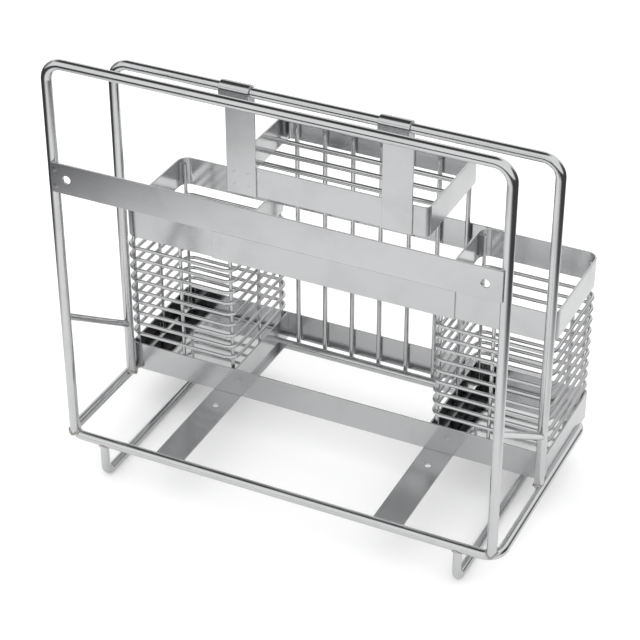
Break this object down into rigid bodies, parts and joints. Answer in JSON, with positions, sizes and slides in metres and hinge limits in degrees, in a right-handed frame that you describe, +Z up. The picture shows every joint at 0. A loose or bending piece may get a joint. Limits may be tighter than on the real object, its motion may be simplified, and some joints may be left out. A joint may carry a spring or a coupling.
{
  "type": "kitchen rack for chopping boards, knives and cutlery",
  "caption": "Welded wire and flat-bar worktop rack: a tall hoop pair for chopping boards, a hook-on slotted knife tray and mesh cutlery baskets with lift-out floors.",
  "frame": {"origin": "centre of the footprint, on the worktop plane under the runners", "axes": "+X to the right along the front strip (width), +Y from the front hoop back to the baskets (depth), +Z up"},
  "size_m": [0.378, 0.2048, 0.3685],
  "materials": {
    "round_wire": "polished round steel wire",
    "flat_bar": "polished flat steel bar",
    "floor_sheet": "mirror-polished steel sheet"
  },
  "bodies": {
    "frame": {"base_ring": "round_wire", "left_runner": "round_wire", "right_runner": "round_wire", "front_hoop": "round_wire", "rear_hoop": "round_wire", "left_side_brace": "round_wire", "right_side_brace": "round_wire", "front_strip": "flat_bar", "left_floor_strap": "flat_bar", "right_floor_strap": "flat_bar", "lower_band": "flat_bar", "left_inner_band": "flat_bar", "right_inner_band": "flat_bar", "centre_tie_strip": "flat_bar", "rear_tie_strip": "flat_bar", "back_wires": "round_wire", "left_basket_rim": "flat_bar", "right_basket_rim": "flat_bar", "left_basket_front_grille": "round_wire", "left_basket_back_grille": "round_wire", "left_basket_outer_grille": "round_wire", "left_basket_inner_grille": "round_wire", "right_basket_front_grille": "round_wire", "right_basket_back_grille": "round_wire", "right_basket_outer_grille": "round_wire", "right_basket_inner_grille": "round_wire", "left_basket_corner_wires": "round_wire", "right_basket_corner_wires": "round_wire"},
    "knife_tray": {"tray_band": "flat_bar", "tray_slot_wires": "round_wire", "left_hook_strap": "flat_bar", "right_hook_strap": "flat_bar"},
    "left_drip_plate": {"left_drip_plate": "floor_sheet"},
    "right_drip_plate": {"right_drip_plate": "floor_sheet"}
  },
  "joints": [
    {"name": "tray_lift", "type": "slide", "parent": "frame", "child": "knife_tray", "axis": [0, 0, 1], "range_m": [0, 0.12]},
    {"name": "left_plate_lift", "type": "slide", "parent": "frame", "child": "left_drip_plate", "axis": [0, 0, 1], "range_m": [0, 0.17]},
    {"name": "right_plate_lift", "type": "slide", "parent": "frame", "child": "right_drip_plate", "axis": [0, 0, 1], "range_m": [0, 0.17]}
  ]
}
